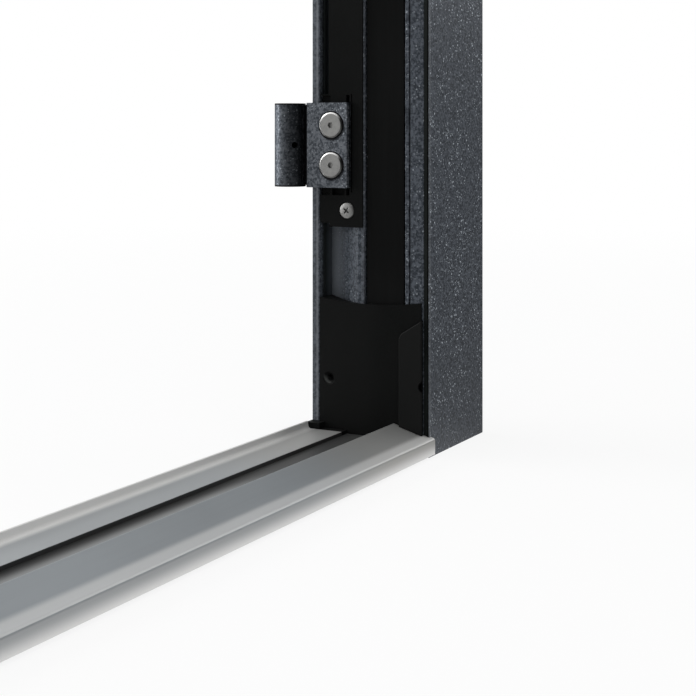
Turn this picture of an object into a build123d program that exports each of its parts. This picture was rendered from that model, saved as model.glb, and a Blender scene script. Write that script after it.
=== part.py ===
from build123d import *
import os

# Front door frame, seen from outside along +Y. Millimetres, +Z up, floor at Z = 0.
# The origin lies under the middle of the threshold, halfway through the frame's depth.

# Overall sizes
FRAME_W = 1100.0
FRAME_H = 2100.0
DEPTH = 80.0
FACE_W = 82.0
WALL = 2.0
PLAY = 0.15
FLOOR_CLEAR = 0.2

# Frame section, measured from the outside face (v) and from the reveal outwards (u)
PLATE_T = 0.8
EDGE_R = 0.7
FRONT_EDGE_T = 0.35
FRONT_EDGE_R = 0.2
FRONT_EDGE_DEPTH = 1.0
SEAL_W = 2.6
SEAL_GAP = 0.4
SEAL_DEPTH = 8.0
STRIP_IN_V = 12.5
STRIP_GAP = 0.8
STRIP_BACK = 0.2
SOFT_R = 0.4
SLIT_W = 1.4
SLIT_DEPTH = 3.6
NOSE_W = 2.6
BREAK_W = 27.6
BREAK_RECESS = 1.2
LAND_W = 4.2
FITTING_GAP = 0.6
FLOOR_SLOPE = 0.55
LIP_W = 5.3
REAR_SEAL_TOP = 5.4
REAR_SEAL_H = 8.7
REAR_SEAL_T = 1.0

# Threshold section
NOSE_OUT = 2.9
NOSE_LIFT = 2.0
NOSE_TOP = 11.3
LIP_R = 1.9
RIDGE_V = 23.4
RIDGE_Z = 18.9
RIDGE_R = 0.8
BRIDGE_DROP = 2.2
TREAD_Z = 11.5
TREAD_V = 54.75
TREAD_R = 0.4
UPSTAND_Z = 15.9
UPSTAND_T = 1.5
UPSTAND_RUN = 0.3
UPSTAND_R = 2.0
NOSE_LAP = 2.6
REAR_SHORT = 7.8
FOOT_V = 70.5
FOOT_Z = 15.2
SILL_WALL = 2.2

# Corner block at each foot
BLOCK_H = 89.3
BLOCK_DISH = 2.6
BLOCK_PROUD = 1.5
BLOCK_FRONT_V = 4.7
WEDGE_PROUD = 2.5
WEDGE_CORNER = 1.5
WEDGE_BEVEL = 0.5
WEDGE_FRONT_V = 3.4
WEDGE_BACK_V = 18.4
WEDGE_FRONT_Z = 81.6
WEDGE_BACK_Z = 73.1
FOOT_SCREW_R = 2.1
FOOT_SCREW_HEAD_R = 4.1
FOOT_SCREW_Z = 42.3
FOOT_SCREW_V = 67.2
NOTCH_R = 3.0
NOTCH_DEPTH = 1.6

# Hinges on the right-hand jamb
HINGE_LOWER_Z = 186.0
HINGE_UPPER_DROP = 260.0
HINGE_H = 52.3
HINGE_PLATE_T = 4.0
HINGE_PLATE_V = 52.0
HINGE_CHAMFER = 0.9
BARREL_R = 9.7
BARREL_V = 93.9
BARREL_SHORT = 1.2
PIN_R = 6.0
GRUB_R = 2.0
GRUB_ANGLE = 48.0
WING_T = 1.1
HINGE_PLATE_END_V = 81.6
DISC_R = 7.9
DISC_T = 0.9
DISC_BEVEL = 0.9
DISC_SEAT = 1.6
DISC_SEAT_GAP = 0.8
DISC_STEP = 24.6
SOCKET_R = 1.9
SOCKET_DEPTH = 1.5
DISC_V = 63.8
CARRIER_PROUD = 1.2
CARRIER_BELOW = 24.1
CARRIER_ABOVE = 5.2
CARRIER_STEP_V = 67.0
CARRIER_STEP_H = 2.3
CARRIER_SCREW_V = 55.1
CARRIER_SCREW_DROP = 40.1
CARRIER_BORE_R = 5.4
CARRIER_HOLE_R = 1.8
POCKET_H = 4.6
POCKET_DEPTH = 3.2
POCKET_RIB_T = 1.2
POCKET_RIB_VS = (52.5, 55.9, 65.8)
PLATE_SLIT_DEPTH = 1.5
PLATE_SLIT_PAST = 2.8
PLATE_SLIT_EDGE = 0.6
CARRIER_BORE_DEPTH = 1.5
COVER_T = 1.2
COVER_W = 23.6

# Strike plates on the left-hand jamb
STRIKE_LOWER_Z = 330.0
STRIKE_MAIN_Z = 1035.0
STRIKE_UPPER_DROP = 320.0
STRIKE_L = 180.0
STRIKE_MAIN_L = 240.0
STRIKE_T = 3.0
STRIKE_PROUD = 1.2
MOUTH_W = 8.0
MOUTH_DEPTH = 8.0
KEEP_WALL = 3.0
KEEP_SHARE = 0.4

REVEAL_X = FRAME_W / 2 - FACE_W
OUT_Y = -DEPTH / 2


def y_of(v):
    """The place along Y of a point v behind the outside face."""
    return OUT_Y + v


# Places along the frame's depth that follow from the sizes above
NOSE_FRONT_V = STRIP_IN_V + STRIP_GAP
BREAK_V = NOSE_FRONT_V + NOSE_W
INNER_V = BREAK_V + BREAK_W
FITTING_V = INNER_V + FITTING_GAP
FLOOR_V = INNER_V + LAND_W
LIP_V = DEPTH - LIP_W
BLOCK_BACK_V = LIP_V - REAR_SEAL_T - PLAY

# Heights of the hinges and strike plates, from the floor and from the top of the frame
HINGE_ZS = {
    "lower": HINGE_LOWER_Z,
    "middle": (HINGE_LOWER_Z + FRAME_H - HINGE_UPPER_DROP) / 2,
    "upper": FRAME_H - HINGE_UPPER_DROP,
}
STRIKES = {
    "lower": (STRIKE_LOWER_Z, STRIKE_L),
    "main": (STRIKE_MAIN_Z, STRIKE_MAIN_L),
    "upper": (FRAME_H - STRIKE_UPPER_DROP, STRIKE_L),
}


def floor_u(v):
    """Depth of the rear groove's sloping floor at v."""
    return max(0.0, (v - FLOOR_V) * FLOOR_SLOPE)


def soften(outline, points, radius):
    """The outline with its corners at these points rounded."""
    return fillet([outline.vertices().sort_by_distance((*point, 0))[0] for point in points], radius)


def face_of(points):
    """A flat face from a closed outline in the XY plane."""
    return make_face(Polyline(*points, close=True))


def outer_section():
    """Outside aluminium profile: front lip, seal slot, flat strip, slit, nose and three chambers."""
    strip_v = PLATE_T + SEAL_W
    web_u = SEAL_DEPTH + WALL
    outline = face_of([
        (0, 0), (FACE_W, 0), (FACE_W, BREAK_V),
        (0, BREAK_V), (0, NOSE_FRONT_V), (SLIT_DEPTH, NOSE_FRONT_V), (SLIT_DEPTH, STRIP_IN_V),
        (STRIP_BACK, STRIP_IN_V), (STRIP_BACK, strip_v), (SEAL_DEPTH, strip_v), (SEAL_DEPTH, PLATE_T),
        (FRONT_EDGE_DEPTH, PLATE_T), (FRONT_EDGE_DEPTH, FRONT_EDGE_T), (0, FRONT_EDGE_T),
    ])
    middle = (web_u + FACE_W) / 2
    for left, right in ((web_u, middle - WALL / 2), (middle + WALL / 2, FACE_W - WALL)):
        outline -= face_of([(left, WALL), (right, WALL), (right, BREAK_V - WALL), (left, BREAK_V - WALL)])
    outline -= face_of([
        (SLIT_DEPTH, strip_v + WALL), (SEAL_DEPTH, strip_v + WALL),
        (SEAL_DEPTH, STRIP_IN_V - WALL), (SLIT_DEPTH, STRIP_IN_V - WALL),
    ])
    outline = soften(outline, [
        (0, BREAK_V), (0, NOSE_FRONT_V), (STRIP_BACK, STRIP_IN_V), (STRIP_BACK, strip_v)], SOFT_R)
    return soften(outline, [(0, 0)], FRONT_EDGE_R)


def break_section():
    """Plastic thermal break: recessed face between two slits, three chambers."""
    lap = SLIT_DEPTH + BREAK_RECESS
    outline = face_of([
        (BREAK_RECESS, BREAK_V + SLIT_W), (BREAK_RECESS, INNER_V - SLIT_W), (lap, INNER_V - SLIT_W),
        (lap, INNER_V), (FACE_W - WALL, INNER_V), (FACE_W - WALL, BREAK_V), (lap, BREAK_V),
        (lap, BREAK_V + SLIT_W),
    ])
    first = lap + WALL
    pitch = (FACE_W - 2 * WALL - first) / 3
    for index in range(3):
        left = first + index * pitch
        right = left + pitch - WALL
        outline -= face_of([
            (left, BREAK_V + WALL), (right, BREAK_V + WALL), (right, INNER_V - WALL), (left, INNER_V - WALL),
        ])
    return outline


def inner_section():
    """Inside aluminium profile: land, sloping groove floor, rear lip and two chambers."""
    deep = floor_u(LIP_V)
    outline = face_of([
        (0, INNER_V), (FACE_W, INNER_V), (FACE_W, DEPTH), (0, DEPTH),
        (0, LIP_V), (deep, LIP_V), (0, FLOOR_V),
    ])
    near_v = INNER_V + WALL
    far_v = DEPTH - WALL
    slant_wall = WALL * (1 + FLOOR_SLOPE**2) ** 0.5
    web_u = floor_u(far_v) + slant_wall
    outline -= face_of([(WALL, near_v), (web_u, near_v), (web_u, far_v), (slant_wall, FLOOR_V)])
    outline -= face_of([
        (web_u + WALL, near_v), (FACE_W - WALL, near_v), (FACE_W - WALL, far_v), (web_u + WALL, far_v),
    ])
    return soften(soften(outline, [(0, LIP_V), (0, DEPTH)], EDGE_R), [(0, INNER_V)], SOFT_R)


def edge_seal_section():
    """Rubber strip in the slot behind the front lip, with a narrower head."""
    head = 1.5
    back_v = PLATE_T + SEAL_W
    return face_of([
        (-0.1, PLATE_T + SEAL_GAP), (head, PLATE_T), (SEAL_DEPTH, PLATE_T), (SEAL_DEPTH, back_v),
        (head, back_v), (-0.1, back_v - SEAL_GAP / 2),
    ])


def rear_seal_section():
    """Rubber strip on the front of the rear lip, down in the groove."""
    return face_of([
        (REAR_SEAL_TOP, LIP_V - REAR_SEAL_T), (REAR_SEAL_TOP, LIP_V),
        (REAR_SEAL_TOP + REAR_SEAL_H, LIP_V), (REAR_SEAL_TOP + REAR_SEAL_H, LIP_V - REAR_SEAL_T),
    ])


def jamb_of(section):
    """The section run up the right-hand side and mitred at the top."""
    run = extrude(Pos(REVEAL_X, OUT_Y, 0) * section, FRAME_H, dir=(0, 0, 1))
    spare = 20
    keep = Plane.XZ * face_of([
        (REVEAL_X - spare, 0), (FRAME_W / 2, 0), (FRAME_W / 2, FRAME_H),
        (REVEAL_X - spare, FRAME_H - FACE_W - spare),
    ])
    return run & extrude(keep, DEPTH, both=True)


def head_of(section):
    """The section run across the top and mitred at both ends."""
    plane = Plane(origin=(-FRAME_W / 2, OUT_Y, FRAME_H - FACE_W), x_dir=(0, 0, 1), z_dir=(1, 0, 0))
    turned = mirror(section, Plane.XZ)
    run = extrude(plane * turned, FRAME_W, dir=(1, 0, 0))
    spare = 20
    keep = Plane.XZ * face_of([
        (-FRAME_W / 2, FRAME_H), (FRAME_W / 2, FRAME_H),
        (REVEAL_X - spare, FRAME_H - FACE_W - spare), (spare - REVEAL_X, FRAME_H - FACE_W - spare),
    ])
    return run & extrude(keep, DEPTH, both=True)


def other_side(shape):
    return mirror(shape, Plane.YZ)


# Threshold
def run_across(points, start_x, end_x, rounded=()):
    """An outline of (v, z) points run along X, with (index, radius) corners rounded."""
    outline = face_of([(y_of(v), z) for v, z in points])
    for index, radius in rounded:
        v, z = points[index]
        corner = outline.vertices().sort_by_distance((y_of(v), z, 0))[0]
        outline = fillet(corner, radius)
    plane = Plane(origin=(start_x, 0, 0), x_dir=(0, 1, 0), z_dir=(1, 0, 0))
    return extrude(plane * outline, end_x - start_x, dir=(1, 0, 0))


def sill_top(v):
    """Height of the front profile's sloping top at v."""
    return NOSE_TOP + (v + NOSE_OUT) * (RIDGE_Z - NOSE_TOP) / (RIDGE_V + NOSE_OUT)


def chamber_row(start_v, end_v, count, top_of, half_length):
    """Side by side chambers cut through a threshold profile, under the height top_of(v)."""
    pitch = (end_v - start_v - SILL_WALL) / count
    cut = []
    for index in range(count):
        left = start_v + SILL_WALL + index * pitch
        right = left + pitch - SILL_WALL
        cut.append(run_across([
            (left, SILL_WALL), (left, top_of(left) - SILL_WALL),
            (right, top_of(right) - SILL_WALL), (right, SILL_WALL),
        ], -half_length, half_length))
    return cut


def threshold_front():
    """Front profile: raised nose, rounded lip, sloping top and two chambers."""
    half = REVEAL_X - PLAY
    step_v = 2.0
    run = run_across([
        (-NOSE_OUT, NOSE_LIFT), (-NOSE_OUT, NOSE_TOP), (RIDGE_V, RIDGE_Z), (RIDGE_V, 0),
        (step_v, 0), (step_v, NOSE_LIFT),
    ], -half, half, ((1, LIP_R), (2, RIDGE_R)))
    run += run_across([
        (-NOSE_OUT, NOSE_LIFT), (-NOSE_OUT, NOSE_TOP), (-PLAY, sill_top(-PLAY)), (-PLAY, NOSE_LIFT),
    ], -half - NOSE_LAP, half + NOSE_LAP, ((1, LIP_R),))
    return run - chamber_row(step_v, RIDGE_V, 2, sill_top, half)


def threshold_bridge():
    """Plastic bridge that parts the two metal profiles, a little below the tread."""
    half = REVEAL_X - BLOCK_PROUD
    top = TREAD_Z - BRIDGE_DROP
    run = run_across([(RIDGE_V, 0), (RIDGE_V, top), (TREAD_V, top), (TREAD_V, 0)], -half, half)
    return run - chamber_row(RIDGE_V, TREAD_V, 3, lambda v: top, half)


def threshold_rear():
    """Rear profile: flat tread with its upstand, over two chambers."""
    half = REVEAL_X - REAR_SHORT
    run = run_across([
        (TREAD_V, 0), (TREAD_V, TREAD_Z), (DEPTH - UPSTAND_T - UPSTAND_RUN, TREAD_Z),
        (DEPTH - UPSTAND_T, UPSTAND_Z), (DEPTH, UPSTAND_Z), (DEPTH, 0),
    ], -half, half, ((1, TREAD_R), (2, UPSTAND_R), (3, SOFT_R), (4, SOFT_R)))
    return run - chamber_row(TREAD_V, DEPTH - UPSTAND_T, 2, lambda v: TREAD_Z, half)


# Fittings in the grooves of the right-hand jamb
def from_face(proud, v, z, size_v, size_z, depth):
    """A box to cut depth deep from a face that stands proud of the reveal."""
    return Pos(REVEAL_X - proud, y_of(v), z) * Box(2 * depth, size_v, size_z)


def groove_fill(front_u, start_v, end_v):
    """Outline that fills the rear groove between two depths, with its face front_u proud."""
    return [
        (-front_u, start_v), (-front_u, end_v), (floor_u(end_v) - PLAY / FLOOR_SLOPE, end_v),
        (-PLAY, FLOOR_V - FLOOR_CLEAR), (-PLAY, start_v),
    ]


def jamb_run(points, low, high):
    """An outline of (u, v) points run up the right-hand jamb."""
    return extrude(Pos(REVEAL_X, OUT_Y, low) * face_of(points), high - low, dir=(0, 0, 1))


def corner_block():
    """Block over the foot of the jamb: it fills both grooves, laps the threshold and has a foot."""
    back = BLOCK_BACK_V
    block = jamb_run([
        (-BLOCK_PROUD, BLOCK_FRONT_V), (-BLOCK_PROUD, back),
        (floor_u(back) - PLAY / FLOOR_SLOPE, back), (-PLAY, FLOOR_V - FLOOR_CLEAR), (-PLAY, INNER_V - SLIT_W),
        (BREAK_RECESS - PLAY, INNER_V - SLIT_W), (BREAK_RECESS - PLAY, BREAK_V + SLIT_W), (-PLAY, BREAK_V + SLIT_W),
        (-PLAY, BLOCK_FRONT_V),
    ], 0, BLOCK_H + BLOCK_DISH)
    top_y, dish_y, low_y = y_of(BLOCK_FRONT_V), y_of((BLOCK_FRONT_V + back) / 2), y_of(back)
    dish = make_face([
        ThreePointArc((top_y, BLOCK_H + BLOCK_DISH), (dish_y, BLOCK_H), (low_y, BLOCK_H + BLOCK_DISH)),
        Line((low_y, BLOCK_H + BLOCK_DISH), (top_y, BLOCK_H + BLOCK_DISH)),
    ])
    block -= extrude(Pos(REVEAL_X, 0, 0) * (Plane.YZ * dish), REVEAL_X / 4, both=True)
    wedge_x = REVEAL_X - BLOCK_PROUD - WEDGE_PROUD
    wedge = run_across([
        (WEDGE_FRONT_V, 0), (WEDGE_FRONT_V, WEDGE_FRONT_Z), (WEDGE_BACK_V - WEDGE_CORNER, WEDGE_BACK_Z),
        (WEDGE_BACK_V, WEDGE_BACK_Z - 2 * WEDGE_CORNER), (WEDGE_BACK_V, 0),
    ], wedge_x, REVEAL_X - BLOCK_PROUD)
    outer_edges = wedge.edges().group_by(Axis.X)[0].filter_by(lambda edge: edge.center().Z > SOFT_R)
    block += chamfer(outer_edges, WEDGE_BEVEL)
    block -= run_across([
        (0, -PLAY), (0, sill_top(0) + PLAY), (RIDGE_V + PLAY, RIDGE_Z + PLAY), (RIDGE_V + PLAY, -PLAY),
    ], wedge_x - PLAY, REVEAL_X)
    block += run_across([
        (TREAD_V, 0), (TREAD_V, TREAD_Z), (FOOT_V, TREAD_Z), (FOOT_V, FOOT_Z), (DEPTH, FOOT_Z), (DEPTH, 0),
    ], REVEAL_X - REAR_SHORT, REVEAL_X - BLOCK_PROUD)
    block += run_across([
        (FOOT_V, 0), (FOOT_V, FOOT_Z), (DEPTH, FOOT_Z), (DEPTH, 0),
    ], REVEAL_X - REAR_SHORT, REVEAL_X - PLAY)

    head_depth = 2.0
    hole = Pos(REVEAL_X - BLOCK_PROUD, y_of(FOOT_SCREW_V), FOOT_SCREW_Z) * Rot(0, 90, 0)
    block -= hole * Cylinder(FOOT_SCREW_R, 4 * FOOT_SCREW_HEAD_R)
    block -= hole * Pos(0, 0, head_depth / 2) * Cone(FOOT_SCREW_HEAD_R, FOOT_SCREW_R, head_depth)
    notch = Pos(wedge_x, y_of(WEDGE_FRONT_V - NOTCH_R / 2), FOOT_SCREW_Z) * Rot(0, 90, 0)
    return block - notch * Cylinder(NOTCH_R, 2 * NOTCH_DEPTH)


def hinge_plate(centre_z):
    """Frame part of the hinge: a bevelled plate with a thinner wing to a bored barrel."""
    back_u = -CARRIER_PROUD
    face_u = back_u - HINGE_PLATE_T
    barrel_u = face_u + HINGE_PLATE_T / 2
    bevel = HINGE_CHAMFER
    low = centre_z - HINGE_H / 2
    plate = jamb_run([
        (back_u, HINGE_PLATE_V), (face_u + bevel, HINGE_PLATE_V), (face_u, HINGE_PLATE_V + bevel),
        (face_u, HINGE_PLATE_END_V - bevel), (face_u + bevel, HINGE_PLATE_END_V), (back_u, HINGE_PLATE_END_V),
    ], low, low + HINGE_H)
    wing = jamb_run([
        (back_u, HINGE_PLATE_V + bevel), (back_u, BARREL_V), (back_u - WING_T, BARREL_V),
        (back_u - WING_T, HINGE_PLATE_V + bevel),
    ], low + BARREL_SHORT, low + HINGE_H - BARREL_SHORT)
    axis = Pos(REVEAL_X + barrel_u, y_of(BARREL_V), centre_z)
    body = plate + wing + axis * Cylinder(BARREL_R, HINGE_H - 2 * BARREL_SHORT)
    body -= axis * Cylinder(PIN_R, HINGE_H)
    for place in disc_places(centre_z):
        body -= extrude(place * Circle(DISC_R + DISC_SEAT_GAP), -DISC_SEAT)
    grub = axis * Rot(0, 0, GRUB_ANGLE) * Pos(-BARREL_R, 0, 0) * Rot(0, 90, 0)
    return body - grub * Cylinder(GRUB_R, BARREL_R)


def disc_places(centre_z):
    """Planes on the plate's face at the two disc screws, looking out of it."""
    face_x = REVEAL_X - CARRIER_PROUD - HINGE_PLATE_T
    return [
        Plane(origin=(face_x, y_of(DISC_V), centre_z + step * DISC_STEP / 2), z_dir=(-1, 0, 0), x_dir=(0, 1, 0))
        for step in (-1, 1)
    ]


def hinge_discs(centre_z):
    """Two round screw heads in their seats, each bevelled and with a hexagon socket."""
    heads = []
    for place in disc_places(centre_z):
        head = extrude(place.offset(-DISC_SEAT) * Circle(DISC_R), DISC_SEAT + DISC_T)
        head = chamfer(head.edges().group_by(Axis.X)[0], DISC_T / 2, DISC_BEVEL)
        head -= extrude(place.offset(DISC_T) * RegularPolygon(SOCKET_R, 6), -SOCKET_DEPTH)
        heads.append(head)
    return Compound(heads)


def hinge_carrier(centre_z):
    """Plastic carrier in the rear groove: slit beside the plate, pockets above and below, screw hole."""
    plate_low = centre_z - HINGE_H / 2
    plate_high = centre_z + HINGE_H / 2
    low = plate_low - CARRIER_BELOW
    high = plate_high + CARRIER_ABOVE
    body = jamb_run(groove_fill(CARRIER_PROUD, FITTING_V, BLOCK_BACK_V), low, high)

    step_w = BLOCK_BACK_V - CARRIER_STEP_V
    body -= from_face(
        0, CARRIER_STEP_V + step_w / 2, low + CARRIER_STEP_H / 2, step_w, CARRIER_STEP_H, floor_u(DEPTH))

    slit_v = POCKET_RIB_VS[0] - POCKET_RIB_T / 2 - PLATE_SLIT_EDGE
    slit_low = plate_low - PLATE_SLIT_PAST
    body -= from_face(
        CARRIER_PROUD, (slit_v + HINGE_PLATE_V) / 2, (slit_low + high) / 2,
        HINGE_PLATE_V - slit_v, high - slit_low, PLATE_SLIT_DEPTH)

    ends = (*POCKET_RIB_VS, BLOCK_BACK_V + POCKET_RIB_T / 2)
    for row_z, middle in ((plate_low - POCKET_H / 2, True), (plate_high + POCKET_H / 2, False)):
        for index, (start, end) in enumerate(zip(ends, ends[1:])):
            if index == 1 and not middle:
                continue
            body -= from_face(
                CARRIER_PROUD, (start + end) / 2, row_z, end - start - POCKET_RIB_T, POCKET_H, POCKET_DEPTH)

    bore = Pos(REVEAL_X - CARRIER_PROUD, y_of(CARRIER_SCREW_V), centre_z - CARRIER_SCREW_DROP) * Rot(0, 90, 0)
    return body - bore * Cylinder(CARRIER_BORE_R, 2 * CARRIER_BORE_DEPTH) - bore * Cylinder(CARRIER_HOLE_R, CARRIER_BELOW)


def groove_cover(low, high):
    """Plastic cover clipped over the rear groove between two fittings."""
    end = FITTING_V + COVER_W
    leg = 1.4
    return jamb_run([
        (-COVER_T, FITTING_V), (-COVER_T, end), (floor_u(end) - PLAY / FLOOR_SLOPE, end),
        (floor_u(end - leg) - PLAY / FLOOR_SLOPE, end - leg), (-PLAY, end - leg), (-PLAY, FITTING_V),
    ], low, high)


def strike_plate(centre_z, length):
    """Steel strike plate over the groove with its keep box behind."""
    end = BLOCK_BACK_V - 1
    fold = 8
    plate = jamb_run([
        (-STRIKE_PROUD, FITTING_V), (-STRIKE_PROUD, end), (STRIKE_T - STRIKE_PROUD, end),
        (STRIKE_T - STRIKE_PROUD, FITTING_V + fold), (-PLAY, FLOOR_V - FLOOR_CLEAR), (-PLAY, FITTING_V),
    ], centre_z - length / 2, centre_z + length / 2)
    keep_w = MOUTH_W + 2 * KEEP_WALL
    keep_in = end - keep_w
    keep_l = length * KEEP_SHARE
    plate += jamb_run([
        (0, keep_in), (0, end), (floor_u(end) - PLAY / FLOOR_SLOPE, end),
        (floor_u(keep_in) - PLAY / FLOOR_SLOPE, keep_in),
    ], centre_z - keep_l / 2, centre_z + keep_l / 2)
    mouth = from_face(0, end - keep_w / 2, centre_z, MOUTH_W, keep_l - MOUTH_W, MOUTH_DEPTH)
    return other_side(plate - mouth)


parts = {}
sections = {
    "outer_profile": outer_section(),
    "thermal_break": break_section(),
    "inner_profile": inner_section(),
    "edge_seal": edge_seal_section(),
    "rear_seal": rear_seal_section(),
}
for name, section in sections.items():
    right = jamb_of(section)
    parts["hinge_jamb_" + name] = right
    parts["lock_jamb_" + name] = other_side(right)
    parts["head_" + name] = head_of(section)

parts["threshold_front_profile"] = threshold_front()
parts["threshold_bridge"] = threshold_bridge()
parts["threshold_rear_profile"] = threshold_rear()
parts["hinge_corner_block"] = corner_block()
parts["lock_corner_block"] = other_side(parts["hinge_corner_block"])

for name, centre_z in HINGE_ZS.items():
    parts[f"hinge_{name}_plate"] = hinge_plate(centre_z)
    parts[f"hinge_{name}_disc_screws"] = hinge_discs(centre_z)
    parts[f"hinge_{name}_carrier"] = hinge_carrier(centre_z)

carrier_low = HINGE_H / 2 + CARRIER_BELOW
carrier_high = HINGE_H / 2 + CARRIER_ABOVE
parts["hinge_cover_lower"] = groove_cover(HINGE_ZS["lower"] + carrier_high, HINGE_ZS["middle"] - carrier_low)
parts["hinge_cover_upper"] = groove_cover(HINGE_ZS["middle"] + carrier_high, HINGE_ZS["upper"] - carrier_low)

for name, (centre_z, length) in STRIKES.items():
    parts[f"strike_plate_{name}"] = strike_plate(centre_z, length)

os.makedirs("parts", exist_ok=True)
for name, shape in parts.items():
    export_step(shape, f"parts/{name}.step")
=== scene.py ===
import math

import bmesh
import bpy
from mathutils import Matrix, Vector


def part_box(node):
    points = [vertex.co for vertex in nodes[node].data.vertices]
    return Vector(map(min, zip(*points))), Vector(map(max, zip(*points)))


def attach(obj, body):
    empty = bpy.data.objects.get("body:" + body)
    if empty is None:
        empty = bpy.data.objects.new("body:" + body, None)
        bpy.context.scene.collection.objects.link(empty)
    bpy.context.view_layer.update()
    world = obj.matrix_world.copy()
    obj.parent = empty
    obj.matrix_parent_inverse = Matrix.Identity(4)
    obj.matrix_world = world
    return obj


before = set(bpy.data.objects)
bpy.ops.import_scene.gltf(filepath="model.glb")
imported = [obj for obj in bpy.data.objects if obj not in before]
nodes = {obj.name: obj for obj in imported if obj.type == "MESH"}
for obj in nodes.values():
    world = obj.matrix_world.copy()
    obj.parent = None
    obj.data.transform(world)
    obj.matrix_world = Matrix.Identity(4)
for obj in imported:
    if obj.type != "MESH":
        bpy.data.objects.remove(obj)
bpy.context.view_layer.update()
scene = bpy.context.scene
scene.view_settings.view_transform = "Standard"


# Camera
# Stands low in front of the doorway, on the outside, and looks across it at the foot of the hinge jamb.
# It is level, and the lens is shifted down instead, so upright edges stay parallel as in the photograph.
seal_proud = 0.0001
reveal_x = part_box("hinge_jamb_edge_seal")[0].x + seal_proud
lens = bpy.data.cameras.new("doorway_camera")
lens.sensor_width = 36.0
lens.lens = 74.37
lens.shift_y = -0.3169
lens.clip_start = 0.01
camera = bpy.data.objects.new("doorway_camera", lens)
camera.location = (reveal_x - 0.77807, -0.40144, 0.19689)
camera.rotation_euler = (math.radians(90.0), 0.0, math.radians(-61.859))
scene.collection.objects.link(camera)
scene.camera = camera


# Studio floor and light
# A wide pale floor that the threshold lies on, in a white surround. Gloss sees both dimmer in a few
# places, as the dark parts of a studio show in metal. One soft box stands behind the doorway, one at
# the right in front of it, and one hangs overhead.
class Value:
    """A socket that takes part in arithmetic: each operator adds one Math node."""

    def __init__(self, tree, socket):
        self.tree = tree
        self.socket = socket

    def step(self, operation, *items):
        made = self.tree.nodes.new("ShaderNodeMath")
        made.operation = operation
        for slot, item in zip(made.inputs, items):
            if isinstance(item, Value):
                self.tree.links.new(item.socket, slot)
            else:
                slot.default_value = item
        return Value(self.tree, made.outputs[0])

    def __add__(self, other):
        return self.step("ADD", self, other)

    def __sub__(self, other):
        return self.step("SUBTRACT", self, other)

    def __rsub__(self, other):
        return self.step("SUBTRACT", other, self)

    def __mul__(self, other):
        return self.step("MULTIPLY", self, other)

    def __gt__(self, other):
        return self.step("GREATER_THAN", self, other)

    def __lt__(self, other):
        return self.step("LESS_THAN", self, other)

    def __or__(self, other):
        """The larger of the two, for masks."""
        return self.step("MAXIMUM", self, other)

    def __abs__(self):
        return self.step("ABSOLUTE", self)

    __radd__ = __add__
    __rmul__ = __mul__

    def squared(self):
        return self * self

    def root(self):
        return self.step("SQRT", self)

    def inside(self, low, high):
        """1 from low to high and 0 elsewhere, with sharp ends."""
        return (self > low) * (self < high)

    def rising(self, low, high):
        """0 below low and 1 above high, with a smooth change."""
        ramp = self.tree.nodes.new("ShaderNodeMapRange")
        ramp.interpolation_type = "SMOOTHSTEP"
        self.tree.links.new(self.socket, ramp.inputs["Value"])
        ramp.inputs["From Min"].default_value = low
        ramp.inputs["From Max"].default_value = high
        return Value(self.tree, ramp.outputs["Result"])

    def falling(self, low, high):
        """1 below low and 0 above high, with a smooth change."""
        return 1.0 - self.rising(low, high)


class Sheet:
    """A node tree in the making, with one way to add any node."""

    def __init__(self, tree):
        self.tree = tree

    def node(self, kind, settings=None, output=0, **inputs):
        """Adds a node. Its inputs go by their sockets' names, or by number as i0, i1 and so on."""
        made = self.tree.nodes.new(kind)
        for key, value in (settings or {}).items():
            setattr(made, key, value)
        for key, value in inputs.items():
            by_number = key[1:].isdigit()
            slot = made.inputs[int(key[1:]) if by_number else key.replace("_", " ")]
            if isinstance(value, Value):
                self.tree.links.new(value.socket, slot)
            else:
                slot.default_value = value
        return Value(self.tree, made.outputs[output]) if made.outputs else None

    def ray(self, kind):
        """1 for rays of this kind."""
        return self.node("ShaderNodeLightPath", output=f"Is {kind} Ray")

    def seen_directly(self):
        """1 for camera, gloss and transmission rays, and 0 for diffuse light."""
        return self.ray("Camera") | self.ray("Glossy") | self.ray("Transmission")


world = bpy.data.worlds.new("studio")
scene.world = world
world.use_nodes = True
world.node_tree.nodes.clear()
room = Sheet(world.node_tree)
direction = room.node("ShaderNodeTexCoord", output="Generated")
height = room.node("ShaderNodeSeparateXYZ", output="Z", Vector=direction)


def towards(x, y, z):
    """How far a direction in the room points the same way as x, y, z, which is of length 1."""
    return room.node(
        "ShaderNodeVectorMath", {"operation": "DOT_PRODUCT"}, output="Value", i0=direction, i1=(x, y, z))


dim_front = towards(-0.34, -0.94, 0.0).rising(-0.25, 0.60) * 0.95
dim_low_right = towards(0.913, -0.407, 0.0).rising(0.45, 0.85) * height.falling(0.10, 0.38) * 0.70
dim_high_right = towards(0.79, 0.34, 0.51).rising(0.84, 0.98) * 0.60
wall_white = (1.0 - dim_front) * (1.0 - dim_low_right) * (1.0 - dim_high_right)
cool_fill = room.node("ShaderNodeBackground", Color=(0.97, 0.985, 1.0, 1.0), Strength=0.50)
white_wall = room.node(
    "ShaderNodeBackground", Color=(1.0, 1.0, 1.0, 1.0), Strength=wall_white | room.ray("Camera"))
surround = room.node("ShaderNodeMixShader", i0=room.seen_directly(), i1=cool_fill, i2=white_wall)
room.node("ShaderNodeOutputWorld", Surface=surround)

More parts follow.
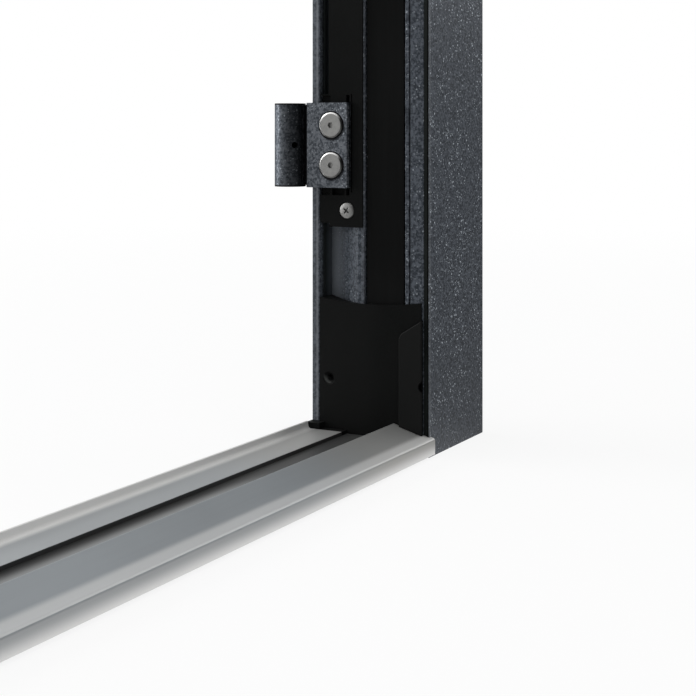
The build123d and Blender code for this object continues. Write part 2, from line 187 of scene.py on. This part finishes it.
floor_reach = 9.0
floor_corners = [(x * floor_reach, y * floor_reach, 0.0) for x, y in ((-1, -1), (1, -1), (1, 1), (-1, 1))]
floor_mesh = bpy.data.meshes.new("studio_floor")
floor_mesh.from_pydata(floor_corners, [], [(0, 1, 2, 3)])
studio_floor = bpy.data.objects.new("studio_floor", floor_mesh)
scene.collection.objects.link(studio_floor)
pale_floor = bpy.data.materials.new("pale_floor")
pale_floor.use_nodes = True
pale_floor.node_tree.nodes.clear()
ground = Sheet(pale_floor.node_tree)
spot = ground.node("ShaderNodeTexCoord", output="Object")
away = ground.node("ShaderNodeVectorMath", {"operation": "LENGTH"}, output="Value", i0=spot)
inward = ground.node("ShaderNodeSeparateXYZ", output="Y", Vector=spot)
in_gloss = ground.ray("Glossy")
near_glow = 0.86
glow_share = near_glow + away.rising(0.9, 2.6) * (1.0 - near_glow)
shadowed = ground.node("ShaderNodeBsdfDiffuse", Color=(0.86, 0.86, 0.855, 1.0))
glow = ground.node("ShaderNodeEmission", Strength=1.0)
dim_inside = inward.rising(0.10, 0.26) | away.rising(0.47, 0.60)
dim_outside = inward.falling(-0.26, -0.10)
for dim_place, strength in ((dim_inside, 0.45), (dim_outside, 0.20)):
    dimmer = ground.node("ShaderNodeEmission", Strength=strength)
    glow = ground.node("ShaderNodeMixShader", i0=in_gloss * dim_place, i1=glow, i2=dimmer)
glowing = ground.seen_directly() * (glow_share | in_gloss)
floor_finish = ground.node("ShaderNodeMixShader", i0=glowing, i1=shadowed, i2=glow)
ground.node("ShaderNodeOutputMaterial", Surface=floor_finish)
floor_mesh.materials.append(pale_floor)

lit_point = Vector((0.2, 0.0, 0.5))
for name, place, size, power in (
        ("rear_soft_box", (-0.3, 3.0, 1.2), 2.4, 66.0),
        ("right_soft_box", (3.3, -1.7, 1.7), 2.2, 16.0),
        ("top_soft_box", (-0.2, -0.2, 4.0), 2.6, 62.0)):
    lamp = bpy.data.lights.new(name, "AREA")
    lamp.size = size
    lamp.energy = power
    soft_box = bpy.data.objects.new(name, lamp)
    soft_box.location = place
    soft_box.rotation_euler = (lit_point - Vector(place)).to_track_quat("-Z", "Y").to_euler()
    scene.collection.objects.link(soft_box)


# Jambs and head
# Outside and inside aluminium profiles, mitred at the top corners, powder coated dark grey with a
# fine metallic glitter. Painted highlights run along their edges and the rear lip, painted light lifts
# the groove floor, and painted shade darkens the sides, the outer corners, the rear lip's front and the
# foot.
class Finish(Sheet):
    """A material in the making: its tree, its shader and the patterns it is made of."""

    def __init__(self, name, fixed):
        self.material = bpy.data.materials.new(name)
        self.material.use_nodes = True
        super().__init__(self.material.node_tree)
        self.shader = self.tree.nodes["Principled BSDF"]
        for socket, value in fixed.items():
            self.shader.inputs[socket].default_value = value
        self.place = self.node("ShaderNodeTexCoord", output="Object")

    def noise(self, size, detail, stretch=(1.0, 1.0, 1.0)):
        """Noise whose lumps are about this many metres across."""
        at = self.node("ShaderNodeMapping", Vector=self.place, Scale=stretch)
        return self.node("ShaderNodeTexNoise", Vector=at, Scale=0.5 / size, Detail=detail)

    def specks(self, size, share, spread):
        """Round spots in this share of cells of this many metres, each of its own brightness."""
        cells = {"Vector": self.place, "Scale": 1.0 / size}
        reach = self.node("ShaderNodeTexVoronoi", output="Distance", **cells)
        tint = self.node("ShaderNodeTexVoronoi", output="Color", **cells)
        draw = self.node("ShaderNodeSeparateColor", output=0, i0=tint)
        bright = self.node("ShaderNodeSeparateColor", output=1, i0=tint)
        return reach.falling(spread * 0.4, spread) * (draw > 1.0 - share) * bright.squared()

    def along(self, axis):
        """Distance in metres from the origin along X, Y or Z."""
        return self.node("ShaderNodeSeparateXYZ", output=axis, Vector=self.place)

    def faces(self, axis):
        """How squarely the surface faces along X, Y or Z, from -1 to 1."""
        normal = self.node("ShaderNodeTexCoord", output="Normal")
        return self.node("ShaderNodeSeparateXYZ", output=axis, Vector=normal)

    def over(self, amount, first, second):
        """The first colour, written out or a value, with the second laid over it by this amount."""
        under = first if isinstance(first, Value) else (*first, 1.0)
        return self.node(
            "ShaderNodeMix", {"data_type": "RGBA"}, output=2, i0=amount, i6=under, i7=(*second, 1.0))

    def feed(self, socket, value):
        self.tree.links.new(value.socket, self.shader.inputs[socket])

    def bump(self, height, depth):
        self.feed("Normal", self.node("ShaderNodeBump", Height=height, Distance=depth))


def glitter_coating(name, metal, dark, light):
    """Powder coating with orange peel and clustered flakes, its colour not fed yet."""
    coat = Finish(name, {
        "Metallic": metal, "IOR": 1.5, "Specular IOR Level": 0.25, "Specular Tint": (0.60, 0.62, 0.65, 1.0)})
    peel = coat.noise(0.0008, 2.0)
    mottle = coat.noise(0.0022, 2.0)
    cluster = coat.noise(0.010, 2.0).rising(0.38, 0.60)
    sideways = coat.faces("X").squared()
    large = coat.specks(0.0021, 0.40, 0.34) * 1.25 * (1.0 - sideways * 0.60)
    small = coat.specks(0.0010, 0.38, 0.44) * 1.10 * (1.0 - sideways * 0.25)
    coat.flakes = (large + small) * (0.25 + cluster * 0.75)
    coat.ground = coat.over((mottle * 0.3 + peel * 0.7).rising(0.39, 0.61), dark, light)
    coat.feed("Roughness", 0.38 + (mottle - 0.5) * 0.12 - coat.flakes * 0.12)
    coat.bump(peel * 0.8 + coat.flakes * 0.5, 0.00012)
    return coat


def dress(node, material):
    """Gives a CAD node its finished material."""
    for place in nodes[node].material_slots:
        place.material = material


silver_flake = (0.66, 0.72, 0.78)
painted_highlight_grey = (0.36, 0.37, 0.39)
painted_groove_light = (0.25, 0.27, 0.30)
painted_shade_black = (0.010, 0.011, 0.012)
anthracite = glitter_coating(
    "anthracite_powder_coating", 0.20, (0.0302, 0.0360, 0.0446), (0.1015, 0.114, 0.1350))
# Limits are metres: inward from the middle of the frame's depth, sideways from the doorway's middle.
inward = anthracite.along("Y")
from_middle = abs(anthracite.along("X"))
near_doorway = from_middle < 0.4752
rear_lip = inward.rising(0.0340, 0.0356) * near_doorway
lip_line = inward.rising(0.0357, 0.0362) * inward.falling(0.0367, 0.0372) * near_doorway
lip_front = inward.inside(0.0340, 0.0350) * from_middle.rising(0.4700, 0.4735)
groove_floor = inward.rising(0.0170, 0.0310) * (inward < 0.0340) * from_middle.inside(0.4720, 0.4900)
land_edge = (inward > 0.0030) * inward.falling(0.0054, 0.0062) * (from_middle < 0.4700)
front_corner = (inward < -0.0390) * from_middle.falling(0.4695, 0.4715)
outer_corner = from_middle.rising(0.5486, 0.5494)
squarely = anthracite.faces("X").squared()
foot = anthracite.along("Z").falling(0.02, 0.12) * (1.0 - squarely)
# Painted light makes the rear lip a little paler.
colour = anthracite.over(rear_lip * 0.10, anthracite.ground, painted_highlight_grey)
# Painted light lifts the groove floor, most towards the rear lip.
colour = anthracite.over(groove_floor, colour, painted_groove_light)
colour = anthracite.over(anthracite.flakes * (1.0 - rear_lip * 0.8), colour, silver_flake)
# Painted highlights along the rear lip's edge line, the front corner and the land's edge.
colour = anthracite.over((lip_line * 0.35) | (front_corner * 0.16) | (land_edge * 0.08), colour, painted_highlight_grey)
# Painted shade on the outer corners, the rear lip's front, the faces along X and the foot.
jamb_painted_shade = (outer_corner * 0.7) | (lip_front * 0.75) | (squarely * 0.17) | (foot * 0.22)
anthracite.feed("Base Color", anthracite.over(jamb_painted_shade, colour, painted_shade_black))
for member in ("hinge_jamb", "lock_jamb", "head"):
    for profile in ("outer_profile", "inner_profile"):
        dress(f"{member}_{profile}", anthracite.material)


# Hinge plates
# One thick aluminium plate for each hinge, with a thinner wing to its barrel, in the jambs' coating but
# with more metal in it. Painted shade lies on the wing and in the screw seats, a painted shadow at the
# lower front of each screw head, and painted shade on the barrel, which is darker than the plate.
hinge_heights = {"lower": 0.186, "middle": 1.013, "upper": 1.840}
disc_y, disc_step = 0.0238, 0.0246
shadow_forward, shadow_drop = 0.0006, 0.0008
hinge_coat = glitter_coating("anthracite_hinge_coating", 0.92, (0.056, 0.063, 0.073), (0.160, 0.173, 0.193))
inward, up = hinge_coat.along("Y"), hinge_coat.along("Z")
# Painted shade on the wing and in the screw seats.
hinge_painted_shade = (hinge_coat.along("X") > 0.4633) * (hinge_coat.faces("X") < -0.9) * 0.95
# Painted shadow crescents at the lower front of each screw head.
for hinge_z in hinge_heights.values():
    for disc_z in (hinge_z - disc_step / 2, hinge_z + disc_step / 2):
        off_y, off_z = inward - (disc_y - shadow_forward), up - (disc_z - shadow_drop)
        from_spot = (off_y.squared() + off_z.squared()).root()
        hinge_painted_shade = hinge_painted_shade | (from_spot.falling(0.0084, 0.0092) * 0.8)
# Painted shade on the barrel, deepest on its front side next to the plate.
barrel_shade = 0.20 + inward.falling(0.0530, 0.0570) * 0.12 + inward.falling(0.0450, 0.0476) * 0.45
colour = hinge_coat.over(hinge_coat.flakes, hinge_coat.ground, silver_flake)
colour = hinge_coat.over((inward > 0.0443) * barrel_shade, colour, (0.006, 0.007, 0.008))
hinge_coat.feed("Base Color", hinge_coat.over(hinge_painted_shade, colour, (0.004, 0.004, 0.005)))
for level in hinge_heights:
    dress(f"hinge_{level}_plate", hinge_coat.material)


# Thermal breaks
# Extruded plastic bars between the two metal profiles; their black face lies a little back
# between two slits, and shows fine lines along the run from the extrusion die.
def extruded_plastic(name, run, sheen):
    """Black plastic with die lines along the run's axis, its colour not fed yet."""
    plastic = Finish(name, {"IOR": 1.46, "Specular IOR Level": sheen})
    stretch = tuple(0.02 if axis == run else 1.0 for axis in "XYZ")
    lines = plastic.noise(0.0007, 3.0, stretch)
    cloud = plastic.noise(0.03, 3.0)
    tone = (lines * 0.4 + cloud * 0.6).rising(0.3, 0.7)
    plastic.black = plastic.over(tone, (0.0030, 0.0032, 0.0032), (0.0050, 0.0052, 0.0052))
    plastic.feed("Roughness", 0.46 + (cloud - 0.5) * 0.16)
    plastic.bump(lines, 0.00003)
    return plastic


upright_plastic = extruded_plastic("thermal_break_plastic_upright", "Z", 0.06)
across_plastic = extruded_plastic("thermal_break_plastic_across", "X", 0.06)
for plastic in (upright_plastic, across_plastic):
    plastic.feed("Base Color", plastic.black)
for jamb in ("hinge_jamb", "lock_jamb"):
    dress(f"{jamb}_thermal_break", upright_plastic.material)
dress("head_thermal_break", across_plastic.material)


# Seals
# Rubber strips behind the outside edge and on the rear lip, pressed into their grooves: dull black
# with a faint bloom. Painted light makes the strip in the rear groove greyer towards the groove's floor.
rubber = Finish("seal_rubber", {"IOR": 1.45, "Specular IOR Level": 0.10})
bloom = rubber.noise(0.012, 4.0)
black = rubber.over(bloom.rising(0.35, 0.7), (0.0068, 0.0086, 0.0082), (0.0105, 0.0130, 0.0124))
deeper = rubber.along("X").squared().rising(0.2235, 0.2322)
# Painted light: greyer towards the groove's floor.
seal_painted_light = (rubber.along("Y") > 0.02) * (0.10 + deeper * 0.80)
rubber.feed("Base Color", rubber.over(seal_painted_light, black, (0.070, 0.079, 0.090)))
rubber.feed("Roughness", 0.62 + (bloom - 0.5) * 0.2)
rubber.bump(rubber.noise(0.0006, 2.0), 0.00004)
for member in ("hinge_jamb", "lock_jamb", "head"):
    for seal in ("edge_seal", "rear_seal"):
        dress(f"{member}_{seal}", rubber.material)


# Threshold
# Two extruded aluminium profiles, satin anodised, on both sides of a black plastic bridge: a sloping
# front with a rounded nose, and a flat tread that sweeps up to the rear upstand. Painted highlights lie on
# the nose, tread and upstand, a painted reflection on the nose's foot, and painted shade near the corner
# blocks and on the tread's front face. The bridge has a painted reflection that makes it paler in front,
# and is evenly dark, as painted shade, near the corner blocks.
satin = Finish("anodised_aluminium", {"Specular IOR Level": 0.2})
die_lines = satin.noise(0.0008, 3.0, (0.01, 1.0, 1.0))
wear = satin.noise(0.05, 4.0)
inward, up = satin.along("Y"), satin.along("Z")
across_squared = satin.along("X").squared()
tread = (inward > 0.0) * 0.20
nose_top = inward.falling(-0.0380, -0.0338) * (up > 0.0108) * 0.55
upstand = inward.rising(0.0300, 0.0372)
nose = inward.falling(-0.0424, -0.0412) * up.falling(0.0098, 0.0112)
nose_foot = nose * up.falling(0.0010, 0.0092)
near_block = upstand * across_squared.rising(0.168, 0.194) * 0.30
tread_front = inward.inside(0.0, 0.0165) * (satin.faces("Y") < -0.7) * 0.95
grain = (die_lines * 0.35 + wear * 0.65).rising(0.25, 0.75)
colour = satin.over(grain, (0.325, 0.348, 0.366), (0.360, 0.385, 0.404))
# Painted highlights on the tread, the nose top and the upstand, a painted reflection at the nose's foot,
# painted shade on the upstand near the blocks and on the tread's front face.
for amount, tint in (
        (across_squared.rising(0.100, 0.180), (0.385, 0.387, 0.378)),
        (tread | nose_top | upstand, (0.72, 0.715, 0.70)),
        (nose * 0.30, (0.40, 0.38, 0.36)),
        (nose_foot, (0.80, 0.795, 0.785)),
        (near_block, (0.10, 0.10, 0.10)),
        (tread_front, (0.042, 0.042, 0.041))):
    colour = satin.over(amount, colour, tint)
satin.feed("Base Color", colour)
satin.feed("Metallic", 0.65 - (nose_top | upstand) * 0.50)
satin.feed("Roughness", 0.46 + (wear - 0.5) * 0.10 + (die_lines - 0.5) * 0.06)
sweep_start = 0.0117
rise = up - sweep_start
upstand_sweep = (rise > 0.0) * (inward > 0.03) * rise * -0.85
satin.bump(die_lines * 0.00001 + upstand_sweep, 1.0)
for profile in ("threshold_front_profile", "threshold_rear_profile"):
    dress(profile, satin.material)

bridge = extruded_plastic("threshold_bridge_plastic", "X", 0.35)
colour = bridge.over(0.85, bridge.black, (0.020, 0.0205, 0.020))
# Painted reflection: the bridge is paler towards its front.
colour = bridge.over(bridge.along("Y").falling(0.0020, 0.0110), colour, (0.22, 0.225, 0.225))
# Painted shade near the corner blocks, even across the bridge.
near_block = bridge.along("X").squared().rising(0.085, 0.142)
bridge.feed("Base Color", bridge.over(near_block, colour, (0.041, 0.042, 0.041)))
dress("threshold_bridge", bridge.material)


# Corner blocks, hinge carriers and groove covers
# Injection moulded black plastic pieces that fill the grooves: a fine spark-eroded grain, slightly
# shinier where it is rubbed. Painted light makes the blocks paler at the rear, on their wedges and at the
# lower rear of their countersunk holes, and painted shade makes their notches black.
moulded = Finish("moulded_plastic", {"IOR": 1.47, "Specular IOR Level": 0.05})
grain = moulded.noise(0.00045, 3.0)
rub = moulded.noise(0.02, 4.0)
inward, up = moulded.along("Y"), moulded.along("Z")
block_rear = inward.rising(-0.014, 0.006) * (up < 0.095) * 0.5
wedge = (moulded.along("X").squared() < 0.2165) * (inward < -0.0200)
hole_y, hole_z = inward - 0.0272, up - 0.0429
hole = (hole_y.squared() + hole_z.squared()).falling(0.0000120, 0.0000170)
lower_rear = (hole_y - hole_z).rising(0.0010, 0.0040)
notch_y, notch_z = inward + 0.0381, up - 0.0423
notch = (notch_y.squared() + notch_z.squared()).falling(0.0000110, 0.0000134)
tone = (grain * 0.5 + rub * 0.5).rising(0.35, 0.65)
colour = moulded.over(tone, (0.0042, 0.0045, 0.0044), (0.0064, 0.0067, 0.0065))
# Painted light at the blocks' rear, on the wedges and at the lower rear of the countersunk holes; painted
# shade in the notches.
for amount, tint in (
        (block_rear, (0.0096, 0.0099, 0.0097)),
        (wedge, (0.0105, 0.0108, 0.0106)),
        (hole * lower_rear * 0.7, (0.085, 0.088, 0.085)),
        (notch, (0.0005, 0.0005, 0.0005))):
    colour = moulded.over(amount, colour, tint)
moulded.feed("Base Color", colour)
moulded.feed("Roughness", 0.50 + (rub - 0.5) * 0.2)
moulded.bump(grain, 0.00004)
moulded_nodes = ["hinge_corner_block", "lock_corner_block", "hinge_cover_lower", "hinge_cover_upper"]
moulded_nodes += [f"hinge_{level}_carrier" for level in hinge_heights]
for node in moulded_nodes:
    dress(node, moulded.material)


# Hinge screws
# Two broad turned steel heads hold each plate; their faces carry fine streaks from the lathe, and the
# bevelled rim has a painted highlight at its upper rear and painted shade at its lower front.
def turned_steel(name, bevelled):
    """Steel with lathe streaks; the rim of a bevelled head faces between across and along X."""
    steel = Finish(name, {"Metallic": 1.0})
    streak = steel.noise(0.0012, 4.0)
    fine = steel.noise(0.0003, 2.0)
    tone = (streak * 0.6 + fine * 0.4).rising(0.35, 0.65)
    colour = steel.over(tone, (0.27, 0.27, 0.265), (0.33, 0.33, 0.32))
    rough = 0.48 + (streak - 0.5) * 0.14
    if bevelled:
        square = steel.faces("X").squared()
        bevel = (square > 0.5) * square.falling(0.84, 0.97)
        lit = (steel.faces("Y") + steel.faces("Z")).rising(-0.30, 0.05)
        # Painted highlight on the rim's upper rear, painted shade on its lower front.
        colour = steel.over(bevel * lit * 0.8, colour, (0.92, 0.92, 0.91))
        colour = steel.over(bevel * (1.0 - lit) * 0.75, colour, (0.05, 0.05, 0.05))
        rough = rough - bevel * 0.16
    steel.feed("Base Color", colour)
    steel.feed("Roughness", rough)
    steel.bump(fine, 0.00001)
    return steel.material


disc_steel = turned_steel("disc_screw_steel", True)
for level in hinge_heights:
    dress(f"hinge_{level}_disc_screws", disc_steel)


# Strike plates
# Folded steel plates on the lock side with the mouths for bolts and latch, zinc plated:
# pale, slightly cloudy, with fine streaks across them, as the latch rubs when the door shuts.
strike_levels = ("lower", "main", "upper")
zinc = Finish("zinc_plated_steel", {"Metallic": 1.0})
cloud = zinc.noise(0.014, 5.0)
scratch = zinc.noise(0.0007, 3.0, (1.0, 0.06, 1.0))
tone = (cloud * 0.7 + scratch * 0.3).rising(0.35, 0.68)
zinc.feed("Base Color", zinc.over(tone, (0.36, 0.36, 0.355), (0.46, 0.46, 0.45)))
zinc.feed("Roughness", 0.36 + (cloud - 0.5) * 0.24 + (scratch - 0.5) * 0.1)
zinc.bump(scratch, 0.00001)
for level in strike_levels:
    dress(f"strike_plate_{level}", zinc.material)


# Carrier screws
# One pan head steel screw holds each hinge carrier in the groove. Its head has a pressed cross
# recess, and each screw has stopped at another angle.
def cross_head(radius, rise, arm, width, deep):
    """Round domed head on +Z with a tapering cross recess and a short skirt below its rim, as a mesh."""
    around, rings_in_cross, rings_outside = 64, 9, 6
    roundness, arm_taper, side_slope, end_slope, skirt = 2.6, 0.35, 0.3, 0.35, 0.4

    def surface(x, y):
        dome = rise * math.sqrt(max(0.0, 1.0 - (math.hypot(x, y) / radius) ** roundness))
        near, far = sorted((abs(x), abs(y)))
        half_width = width * (1.0 - arm_taper * far / arm)
        side = min(1.0, max(0.0, (half_width - near) / (side_slope * width)))
        end = min(1.0, max(0.0, (arm - far) / (end_slope * arm)))
        return dome - deep * side * end

    mesh = bmesh.new()
    radii = [arm * k / rings_in_cross for k in range(1, rings_in_cross + 1)]
    radii += [arm + (radius - arm) * k / rings_outside for k in range(1, rings_outside + 1)]
    turns = [2 * math.pi * k / around for k in range(around)]
    centre = mesh.verts.new((0, 0, surface(0, 0)))
    loops = []
    for r in radii:
        flat = [(r * math.cos(turn), r * math.sin(turn)) for turn in turns]
        loops.append([mesh.verts.new((x, y, surface(x, y))) for x, y in flat])
    loops.append([mesh.verts.new((rim.co.x, rim.co.y, -skirt * rise)) for rim in loops[-1]])
    for k in range(around):
        after = (k + 1) % around
        mesh.faces.new((centre, loops[0][k], loops[0][after]))
        for inner, outer in zip(loops, loops[1:]):
            mesh.faces.new((inner[k], outer[k], outer[after], inner[after]))
    mesh.faces.new(list(reversed(loops[-1])))
    data = bpy.data.meshes.new("cross_head")
    mesh.to_mesh(data)
    mesh.free()
    data.shade_smooth()
    data.set_sharp_from_angle(angle=math.radians(50))
    return data


def fitted_row(name, template, places, outward, material, seed):
    """Sets the template at each place, its +Z along outward, each turned at random."""
    tree = bpy.data.node_groups.new(name, "GeometryNodeTree")
    sockets = {}
    for label, kind in (
            ("Geometry", "NodeSocketGeometry"),
            ("Fitting", "NodeSocketObject"),
            ("Facing", "NodeSocketVector"),
            ("Turn Seed", "NodeSocketInt"),
            ("Finish", "NodeSocketMaterial")):
        sockets[label] = tree.interface.new_socket(label, in_out="INPUT", socket_type=kind)
    tree.interface.new_socket("Geometry", in_out="OUTPUT", socket_type="NodeSocketGeometry")
    start = tree.nodes.new("NodeGroupInput")
    end = tree.nodes.new("NodeGroupOutput")
    fitting = tree.nodes.new("GeometryNodeObjectInfo")
    turn = tree.nodes.new("FunctionNodeRandomValue")
    turn.data_type = "FLOAT"
    turn.inputs["Max"].default_value = 2 * math.pi
    spin = tree.nodes.new("ShaderNodeCombineXYZ")
    point = tree.nodes.new("FunctionNodeAlignRotationToVector")
    point.axis = "Z"
    rotate = tree.nodes.new("FunctionNodeRotateRotation")
    rotate.rotation_space = "LOCAL"
    to_turn = tree.nodes.new("FunctionNodeEulerToRotation")
    instance = tree.nodes.new("GeometryNodeInstanceOnPoints")
    real = tree.nodes.new("GeometryNodeRealizeInstances")
    coat = tree.nodes.new("GeometryNodeSetMaterial")
    for source, target in (
            (start.outputs["Fitting"], fitting.inputs["Object"]),
            (start.outputs["Turn Seed"], turn.inputs["Seed"]),
            (turn.outputs[1], spin.inputs["Z"]),
            (spin.outputs[0], to_turn.inputs[0]),
            (start.outputs["Facing"], point.inputs["Vector"]),
            (point.outputs[0], rotate.inputs[0]),
            (to_turn.outputs[0], rotate.inputs[1]),
            (start.outputs["Geometry"], instance.inputs["Points"]),
            (fitting.outputs["Geometry"], instance.inputs["Instance"]),
            (rotate.outputs[0], instance.inputs["Rotation"]),
            (instance.outputs[0], real.inputs[0]),
            (real.outputs[0], coat.inputs["Geometry"]),
            (start.outputs["Finish"], coat.inputs["Material"]),
            (coat.outputs[0], end.inputs[0])):
        tree.links.new(source, target)

    pattern = bpy.data.objects.new(name + "_pattern", template)
    scene.collection.objects.link(pattern)
    points = bpy.data.meshes.new(name + "_points")
    points.from_pydata(places, [], [])
    holder = bpy.data.objects.new(name + "_points", points)
    scene.collection.objects.link(holder)
    modifier = holder.modifiers.new("row", "NODES")
    modifier.node_group = tree
    settings = {"Fitting": pattern, "Facing": outward, "Turn Seed": seed, "Finish": material}
    for label, value in settings.items():
        modifier[sockets[label].identifier] = value
    bpy.context.view_layer.update()
    graph = bpy.context.evaluated_depsgraph_get()
    made = bpy.data.meshes.new_from_object(holder.evaluated_get(graph))
    holder.modifiers.remove(modifier)
    for spare in (holder, pattern):
        bpy.data.objects.remove(spare)
    piece = bpy.data.objects.new(name, made)
    scene.collection.objects.link(piece)
    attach(piece, "root")


rim_proud, screw_inward, screw_below_hinge = 0.0006, 0.0551, 0.0401
screw_steel = turned_steel("cross_screw_steel", False)
outside_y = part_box("hinge_jamb_outer_profile")[0].y
carrier_heads = []
for level in hinge_heights:
    low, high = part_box(f"hinge_{level}_plate")
    screw_z = (low.z + high.z) / 2 - screw_below_hinge
    carrier_heads.append((reveal_x - rim_proud, outside_y + screw_inward, screw_z))
carrier_head = cross_head(radius=0.0051, rise=0.0013, arm=0.0022, width=0.00060, deep=0.0016)
fitted_row("carrier_screws", carrier_head, carrier_heads, (-1, 0, 0), screw_steel, 3)


# Hinge bushes
# Thin black moulded washers, one on each end of every barrel, for the leaf's part of the hinge to
# turn on. The barrels are a little shorter than their plates, which leaves room for them.
def washer(outside, inside, thick):
    """Ring round +Z with bevelled outside edges, as a mesh centred on its middle."""
    around, edge, half = 64, thick / 10, thick / 2
    section = [
        (inside, -half), (outside - edge, -half), (outside, -half + edge),
        (outside, half - edge), (outside - edge, half), (inside, half)]
    mesh = bmesh.new()
    loops = [
        [mesh.verts.new((r * math.cos(turn), r * math.sin(turn), z)) for r, z in section]
        for turn in (2 * math.pi * k / around for k in range(around))]
    for here, there in zip(loops, loops[1:] + loops[:1]):
        for k in range(len(section)):
            after = (k + 1) % len(section)
            mesh.faces.new((here[k], there[k], there[after], here[after]))
    bmesh.ops.recalc_face_normals(mesh, faces=mesh.faces)
    data = bpy.data.meshes.new("washer")
    mesh.to_mesh(data)
    mesh.free()
    data.shade_smooth()
    data.set_sharp_from_angle(angle=math.radians(30))
    return data


barrel_radius, bush_bore_radius = 0.0097, 0.0062
bush_thick, barrel_short = 0.0009, 0.0012
bushes = []
for level in hinge_heights:
    low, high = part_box(f"hinge_{level}_plate")
    for end, off_barrel in ((low.z + barrel_short, -1), (high.z - barrel_short, 1)):
        bushes.append((low.x + barrel_radius, high.y - barrel_radius, end + off_barrel * bush_thick / 2))
bush = washer(barrel_radius, bush_bore_radius, bush_thick)
fitted_row("hinge_bushes", bush, bushes, (0, 0, 1), moulded.material, 2)


# Strike plate screws
# Two smaller cross-slot screws hold each strike plate, near its ends. They are of the same steel as
# the carrier screws, and their low heads stand just proud of the plate.
screw_from_end, head_sunk = 0.016, 0.0002
strike_heads = []
for level in strike_levels:
    low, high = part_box(f"strike_plate_{level}")
    for end in (low.z + screw_from_end, high.z - screw_from_end):
        strike_heads.append((high.x - head_sunk, (low.y + high.y) / 2, end))
strike_head = cross_head(radius=0.0042, rise=0.0008, arm=0.0021, width=0.00056, deep=0.0012)
fitted_row("strike_screws", strike_head, strike_heads, (1, 0, 0), screw_steel, 5)
